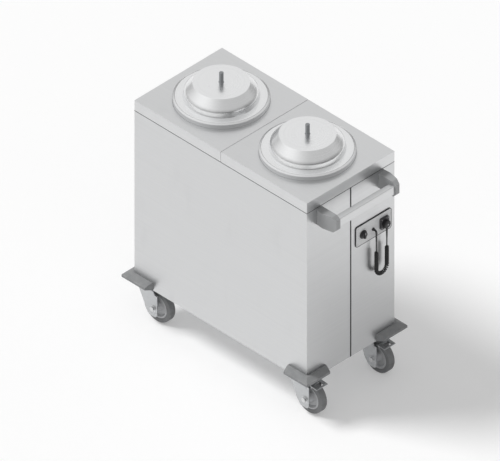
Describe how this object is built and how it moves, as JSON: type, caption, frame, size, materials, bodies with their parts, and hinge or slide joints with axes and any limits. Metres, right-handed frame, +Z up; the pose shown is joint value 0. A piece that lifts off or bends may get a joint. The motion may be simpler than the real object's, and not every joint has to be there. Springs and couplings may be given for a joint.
{
  "type": "plate dispenser cart",
  "caption": "Wheeled plate dispenser: tall sheet metal cabinet with lidded round sprung wells, a push handle, corner bumpers, swivel castors and a curly mains cord.",
  "frame": {"origin": "on the floor, below the middle of the cart's overall outline without its cord", "axes": "+Z up, +X towards the handle end, +Y to the side that holds the control panel"},
  "size_m": [0.926, 0.475, 1.0148],
  "materials": {
    "stainless_sheet": "brushed",
    "zinc_sheet": "zinc plated",
    "collar": "spun satin",
    "platform": "satin",
    "lid": "spun satin",
    "lid_knob": "turned",
    "heater": "oxidised",
    "spring_steel": "drawn wire",
    "bar": "brushed",
    "axle": "zinc plated",
    "grey_plastic": "fine grain",
    "bumper": "matt",
    "panel": "fine grain",
    "dark_plastic": "fine grain",
    "cord": "matt",
    "pedal": "zinc plated",
    "tyre": "matt",
    "hub": "moulded"
  },
  "bodies": {
    "cart": {"casing_left": "stainless_sheet", "casing_right": "stainless_sheet", "deck_front": "stainless_sheet", "deck_rear": "stainless_sheet", "centre_beam": "zinc_sheet", "base_pan": "zinc_sheet", "chassis_channel_front": "zinc_sheet", "chassis_channel_rear": "zinc_sheet", "well_tube_front": "stainless_sheet", "well_tube_rear": "stainless_sheet", "well_collar_front": "collar", "well_collar_rear": "collar", "well_floor_front": "stainless_sheet", "well_floor_rear": "stainless_sheet", "heater_front": "heater", "heater_rear": "heater", "lift_springs_front": "spring_steel", "lift_springs_rear": "spring_steel", "handle_bar": "bar", "handle_bracket_left": "grey_plastic", "handle_bracket_right": "grey_plastic", "control_panel": "panel", "control_box": "zinc_sheet", "switch_body": "dark_plastic", "parking_socket": "dark_plastic", "cord_gland": "dark_plastic", "cord_supply_lead": "cord", "cord_coil": "cord", "cord_plug_lead": "cord", "mains_plug": "dark_plastic", "bumper_front_left": "bumper", "bumper_front_right": "bumper", "bumper_rear_left": "bumper", "bumper_rear_right": "bumper", "castor_plates": "zinc_sheet"},
    "lid_front": {"lid_front": "lid", "lid_knob_front": "lid_knob"},
    "lid_rear": {"lid_rear": "lid", "lid_knob_rear": "lid_knob"},
    "platform_front": {"platform_front": "platform"},
    "platform_rear": {"platform_rear": "platform"},
    "switch_knob": {"switch_knob": "dark_plastic"},
    "swivel_front_left": {"castor_fork_front_left": "zinc_sheet", "castor_axle_front_left": "axle"},
    "wheel_front_left": {"wheel_tyre_front_left": "tyre", "wheel_hub_front_left": "hub"},
    "swivel_front_right": {"castor_fork_front_right": "zinc_sheet", "castor_axle_front_right": "axle"},
    "wheel_front_right": {"wheel_tyre_front_right": "tyre", "wheel_hub_front_right": "hub"},
    "swivel_rear_left": {"castor_fork_rear_left": "zinc_sheet", "castor_axle_rear_left": "axle"},
    "wheel_rear_left": {"wheel_tyre_rear_left": "tyre", "wheel_hub_rear_left": "hub"},
    "swivel_rear_right": {"castor_fork_rear_right": "zinc_sheet", "castor_axle_rear_right": "axle"},
    "wheel_rear_right": {"wheel_tyre_rear_right": "tyre", "wheel_hub_rear_right": "hub"},
    "brake_front_left": {"brake_pedal_front_left": "pedal"},
    "brake_front_right": {"brake_pedal_front_right": "pedal"}
  },
  "joints": [
    {"name": "lid_front_lift", "type": "slide", "parent": "cart", "child": "lid_front", "axis": [0, 0, 1], "range_m": [0, 0.35]},
    {"name": "lid_rear_lift", "type": "slide", "parent": "cart", "child": "lid_rear", "axis": [0, 0, 1], "range_m": [0, 0.35]},
    {"name": "platform_front_travel", "type": "slide", "parent": "cart", "child": "platform_front", "axis": [0, 0, -1], "range_m": [0, 0.47], "stiffness_N_per_m": 650, "springref_m": -0.05, "deforming": ["lift_springs_front"]},
    {"name": "platform_rear_travel", "type": "slide", "parent": "cart", "child": "platform_rear", "axis": [0, 0, -1], "range_m": [0, 0.47], "stiffness_N_per_m": 650, "springref_m": -0.05, "deforming": ["lift_springs_rear"]},
    {"name": "switch_turn", "type": "hinge", "parent": "cart", "child": "switch_knob", "pos_m": [0.384, 0.055, 0.636], "axis": [-1, 0, 0], "range_deg": [0, 270]},
    {"name": "swivel_front_left_turn", "type": "hinge", "parent": "cart", "child": "swivel_front_left", "pos_m": [0.332, -0.1595, 0.1407], "axis": [0, 0, 1], "continuous": true},
    {"name": "wheel_front_left_roll", "type": "hinge", "parent": "swivel_front_left", "child": "wheel_front_left", "pos_m": [0.355, -0.1595, 0.0625], "axis": [0, 1, 0], "continuous": true},
    {"name": "swivel_front_right_turn", "type": "hinge", "parent": "cart", "child": "swivel_front_right", "pos_m": [0.332, 0.1595, 0.1407], "axis": [0, 0, 1], "continuous": true},
    {"name": "wheel_front_right_roll", "type": "hinge", "parent": "swivel_front_right", "child": "wheel_front_right", "pos_m": [0.355, 0.1595, 0.0625], "axis": [0, 1, 0], "continuous": true},
    {"name": "swivel_rear_left_turn", "type": "hinge", "parent": "cart", "child": "swivel_rear_left", "pos_m": [-0.383, -0.1595, 0.1407], "axis": [0, 0, 1], "continuous": true},
    {"name": "wheel_rear_left_roll", "type": "hinge", "parent": "swivel_rear_left", "child": "wheel_rear_left", "pos_m": [-0.36, -0.1595, 0.0625], "axis": [0, 1, 0], "continuous": true},
    {"name": "swivel_rear_right_turn", "type": "hinge", "parent": "cart", "child": "swivel_rear_right", "pos_m": [-0.383, 0.1595, 0.1407], "axis": [0, 0, 1], "continuous": true},
    {"name": "wheel_rear_right_roll", "type": "hinge", "parent": "swivel_rear_right", "child": "wheel_rear_right", "pos_m": [-0.36, 0.1595, 0.0625], "axis": [0, 1, 0], "continuous": true},
    {"name": "brake_front_left_press", "type": "hinge", "parent": "swivel_front_left", "child": "brake_front_left", "pos_m": [0.362, -0.1595, 0.112], "axis": [0, 1, 0], "range_deg": [0, 6]},
    {"name": "brake_front_right_press", "type": "hinge", "parent": "swivel_front_right", "child": "brake_front_right", "pos_m": [0.362, 0.1595, 0.112], "axis": [0, 1, 0], "range_deg": [0, 6]}
  ]
}
